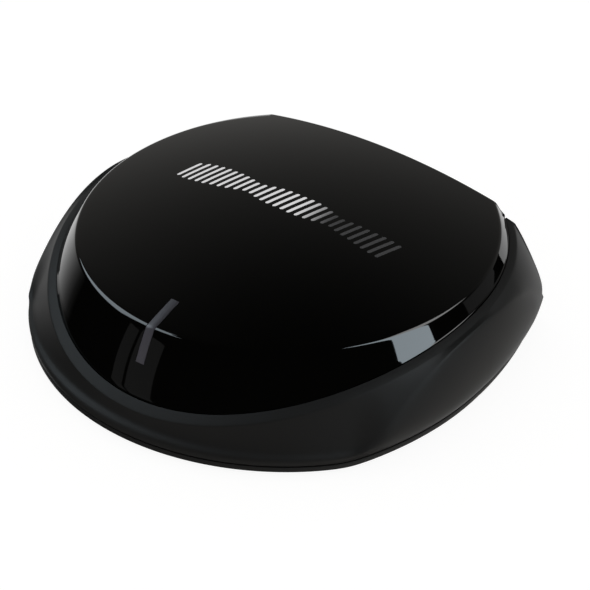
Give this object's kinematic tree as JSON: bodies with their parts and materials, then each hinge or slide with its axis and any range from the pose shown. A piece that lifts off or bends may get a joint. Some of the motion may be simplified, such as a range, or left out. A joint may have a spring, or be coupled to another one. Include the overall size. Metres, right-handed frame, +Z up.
{
  "type": "wireless audio receiver",
  "caption": "Small desktop wireless audio receiver: glossy domed cover with a light bar on a matte housing, connectors and a pairing button in the flat back, rubber feet.",
  "frame": {"origin": "on the resting surface, under the middle of the unit's bounding box", "axes": "+X to the unit's right seen from its front, +Y to the flat back with the connectors, +Z up"},
  "size_m": [0.0696, 0.06, 0.02],
  "materials": {
    "cover_gloss": "polished piano black",
    "housing_matte": "fine spark-eroded texture",
    "indicator": "satin translucent grey",
    "light_guide": "clear acrylic",
    "button_plastic": "satin",
    "port_plastic": "satin moulded",
    "tinned_metal": "satin tinned",
    "contact_brass": "plain",
    "screw_steel": "blackened zinc",
    "pin_steel": "plain",
    "board_laminate": "solder mask",
    "chip_epoxy": "moulded epoxy",
    "ferrite": "matt",
    "copper_track": "bare copper",
    "antenna_film": "satin film",
    "ceramic_white": "satin",
    "emitter_red": "clear red lens",
    "foot_rubber": "matt",
    "label": "printed film without print"
  },
  "bodies": {
    "case": {"top_cover": "cover_gloss", "indicator_lens": "indicator", "light_guide": "light_guide", "status_led": "ceramic_white", "housing": "housing_matte", "base_plate": "housing_matte", "rating_label": "label", "audio_jack": "port_plastic", "audio_jack_ring": "tinned_metal", "audio_contact_left": "contact_brass", "audio_contact_right": "contact_brass", "dc_jack": "port_plastic", "dc_jack_pin": "tinned_metal", "dc_jack_spring": "tinned_metal", "optical_jack": "port_plastic", "optical_emitter": "emitter_red", "shutter_pin": "pin_steel", "pair_switch": "port_plastic", "main_board": "board_laminate", "radio_module_board": "board_laminate", "radio_shield_can": "tinned_metal", "radio_antenna": "ceramic_white", "audio_converter_chip": "chip_epoxy", "line_driver_chip": "chip_epoxy", "tag_reader_chip": "chip_epoxy", "voltage_regulator": "chip_epoxy", "crystal": "tinned_metal", "power_inductor": "ferrite", "antenna_film": "antenna_film", "antenna_loop": "copper_track", "ferrite_sheet": "ferrite", "foot_1": "foot_rubber", "base_screw_1": "screw_steel", "board_screw_1": "pin_steel", "foot_2": "foot_rubber", "base_screw_2": "screw_steel", "board_screw_2": "pin_steel", "foot_3": "foot_rubber", "base_screw_3": "screw_steel", "board_screw_3": "pin_steel", "foot_4": "foot_rubber", "base_screw_4": "screw_steel", "board_screw_4": "pin_steel", "capacitor_1": "tinned_metal", "capacitor_2": "tinned_metal", "capacitor_3": "tinned_metal"},
    "button": {"pair_button": "button_plastic"},
    "switch_plunger": {"pair_switch_plunger": "ceramic_white"},
    "shutter": {"optical_shutter": "port_plastic"}
  },
  "joints": [
    {"name": "pair_button_press", "type": "slide", "parent": "case", "child": "button", "axis": [0, -1, 0], "range_m": [0, 0.0004], "stiffness_N_per_m": 300, "springref_m": -0.0005},
    {"name": "pair_switch_press", "type": "slide", "parent": "case", "child": "switch_plunger", "axis": [0, -1, 0], "range_m": [0, 0.0004]},
    {"name": "optical_shutter_swing", "type": "hinge", "parent": "case", "child": "shutter", "pos_m": [0.0032, 0.02813, 0.01335], "axis": [-1, 0, 0], "range_deg": [0, 78], "stiffness_Nm_per_rad": 0.0002, "springref_deg": -17.19}
  ],
  "couplings": [
    {"joint": "pair_switch_press", "follows": "pair_button_press", "ratio": 1}
  ]
}
